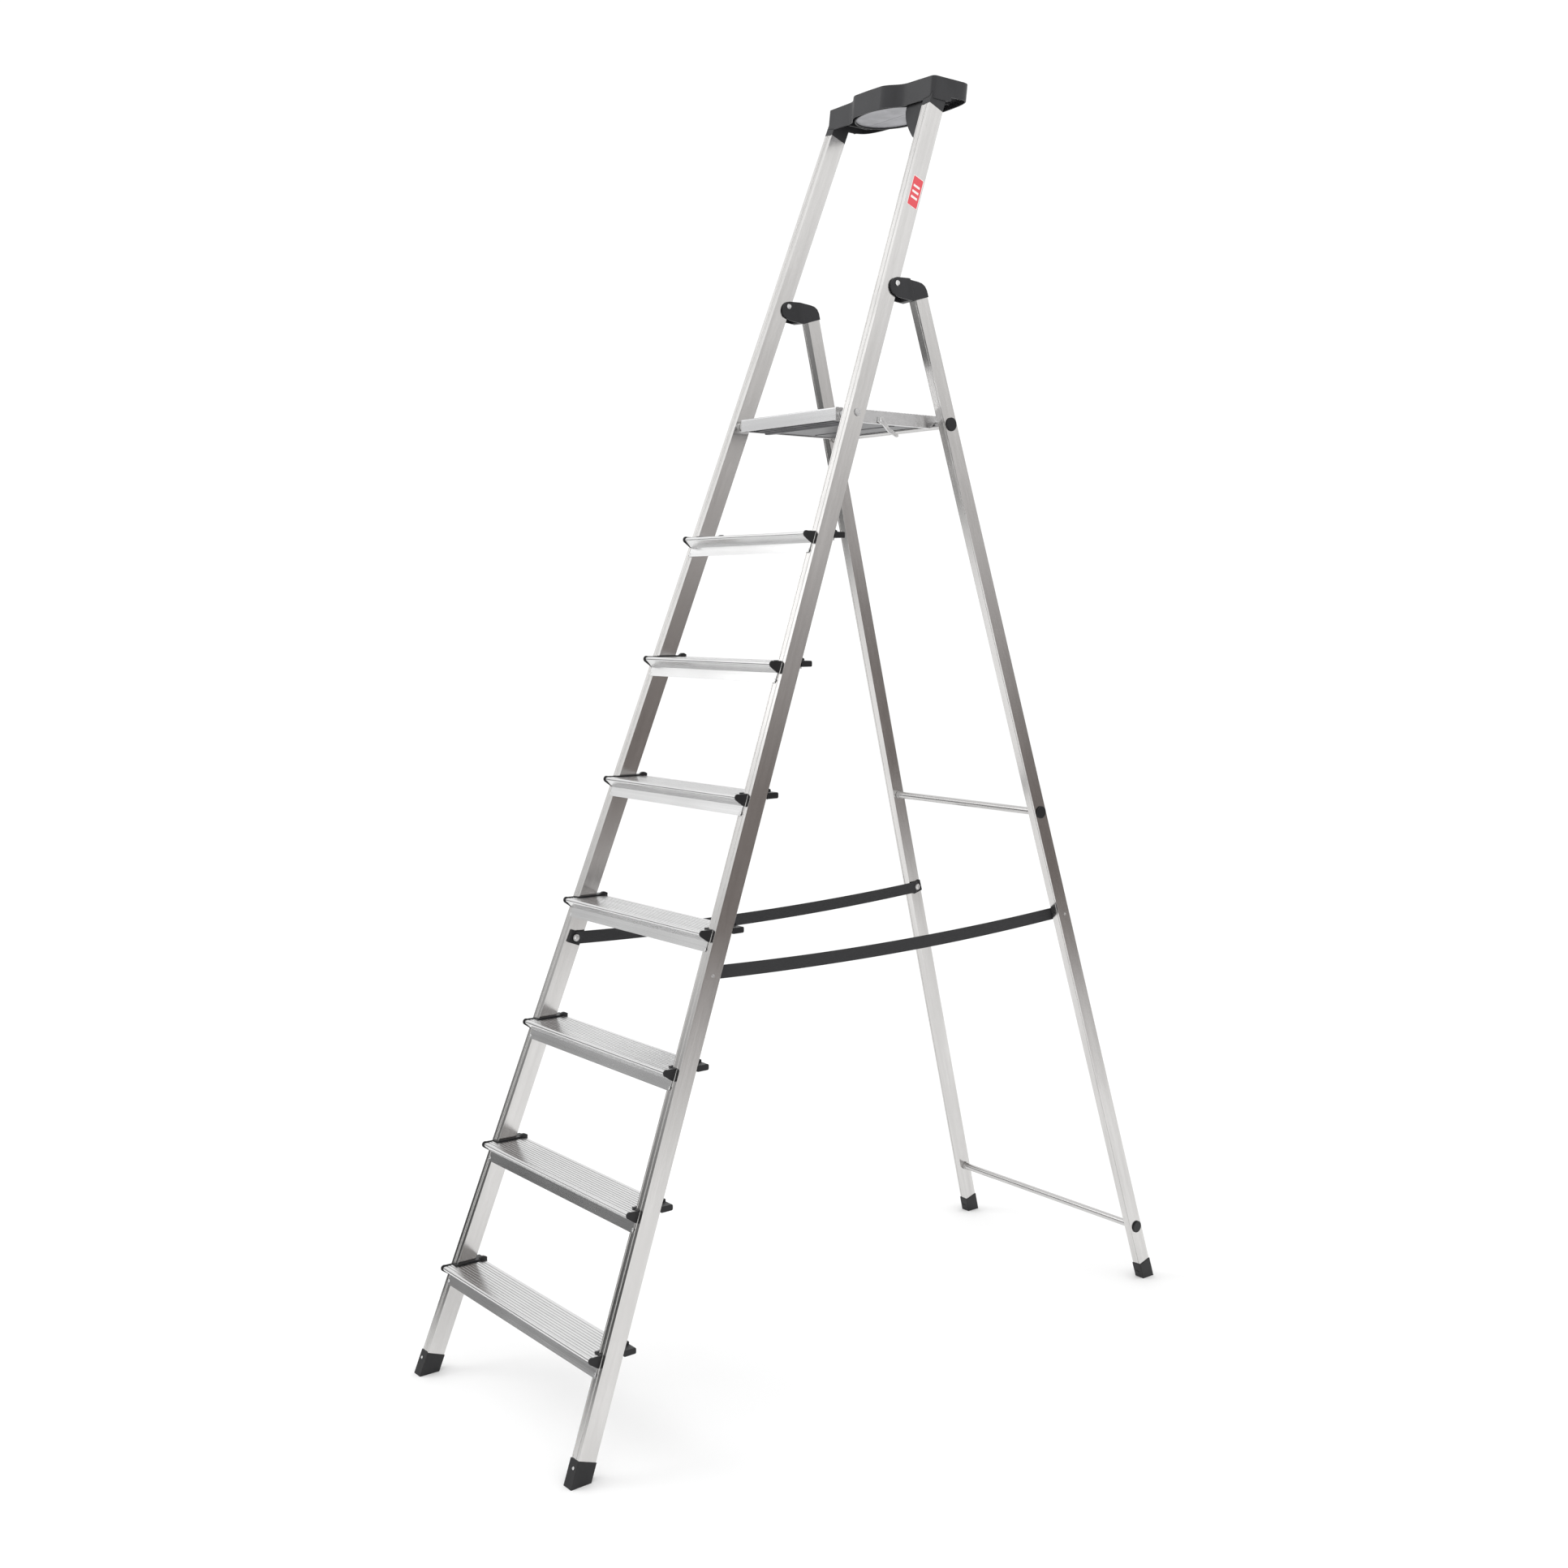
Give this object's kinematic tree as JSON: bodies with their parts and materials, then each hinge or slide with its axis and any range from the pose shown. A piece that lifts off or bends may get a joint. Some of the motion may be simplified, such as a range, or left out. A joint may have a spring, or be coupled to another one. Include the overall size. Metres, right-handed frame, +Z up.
{
  "type": "step ladder",
  "caption": "Single-sided aluminium step ladder with ribbed treads, a fold-up platform, splayed rear legs, webbing straps and a moulded tool tray on top.",
  "frame": {"origin": "on the floor, under the middle of the open ladder's bounding box", "axes": "+Z up, +Y from the steps towards the rear legs, +X to the climber's right"},
  "size_m": [0.58, 1.5171, 2.471],
  "materials": {
    "bracket_plastic": "fine grain",
    "cap_plastic": "satin",
    "foot_plastic": "satin",
    "grey_plastic": "satin",
    "panel_grey": "satin",
    "platform_aluminium": "satin, ribbed",
    "rod_aluminium": "satin",
    "steel": "zinc plated",
    "step_aluminium": "satin, ribbed",
    "sticker": "printed film",
    "stile_aluminium": "satin mill finish",
    "tray_plastic": "fine grain",
    "webbing": "woven"
  },
  "bodies": {
    "front_frame": {"stile_right": "stile_aluminium", "stile_left": "stile_aluminium", "front_foot_right": "foot_plastic", "front_foot_left": "foot_plastic", "foot_rivets": "steel", "step_rivets": "steel", "step_1": "step_aluminium", "step_2": "step_aluminium", "step_3": "step_aluminium", "step_4": "step_aluminium", "step_5": "step_aluminium", "step_6": "step_aluminium", "step_7": "step_aluminium", "step_1_end_caps": "cap_plastic", "step_2_end_caps": "cap_plastic", "step_3_end_caps": "cap_plastic", "step_4_end_caps": "cap_plastic", "step_5_end_caps": "cap_plastic", "step_6_end_caps": "cap_plastic", "step_7_end_caps": "cap_plastic", "tray_body": "tray_plastic", "tray_disc": "grey_plastic", "tray_plug_right": "tray_plastic", "tray_plug_left": "tray_plastic", "tray_gusset_right": "tray_plastic", "hinge_bolts": "steel", "platform_axle": "steel", "axle_sleeves": "steel", "label": "sticker", "strap_right": "webbing", "strap_left": "webbing", "strap_plates_front": "cap_plastic", "strap_bolts_front": "steel", "strap_washers_front": "steel"},
    "rear_frame": {"rear_leg_right": "stile_aluminium", "rear_leg_left": "stile_aluminium", "rear_foot_right": "foot_plastic", "rear_foot_left": "foot_plastic", "hinge_bracket_right": "bracket_plastic", "hinge_bracket_left": "bracket_plastic", "rod_lower": "rod_aluminium", "rod_middle": "rod_aluminium", "rod_platform": "rod_aluminium", "rod_plugs": "cap_plastic", "strap_plates_rear": "cap_plastic", "strap_bolts_rear": "steel", "strap_washers_rear": "steel"},
    "platform": {"platform_deck": "platform_aluminium", "platform_rail_right": "platform_aluminium", "platform_rail_left": "platform_aluminium", "platform_pan": "panel_grey", "platform_stiffener": "panel_grey", "latch_bolt": "steel"},
    "latch": {"latch_lever": "steel"}
  },
  "joints": [
    {"name": "rear_fold", "type": "hinge", "parent": "front_frame", "child": "rear_frame", "pos_m": [0, 0.06191, 2.07602], "axis": [-1, 0, 0], "range_deg": [0, 37], "deforming": ["strap_right", "strap_left"]},
    {"name": "platform_fold", "type": "hinge", "parent": "front_frame", "child": "platform", "pos_m": [0, -0.04357, 1.83314], "axis": [1, 0, 0], "range_deg": [0, 67]},
    {"name": "latch_turn", "type": "hinge", "parent": "platform", "child": "latch", "pos_m": [0.1472, 0.04843, 1.829], "axis": [1, 0, 0], "range_deg": [-12, 12], "stiffness_Nm_per_rad": 0.4}
  ],
  "couplings": [
    {"joint": "platform_fold", "follows": "rear_fold", "ratio": 1.8108}
  ]
}
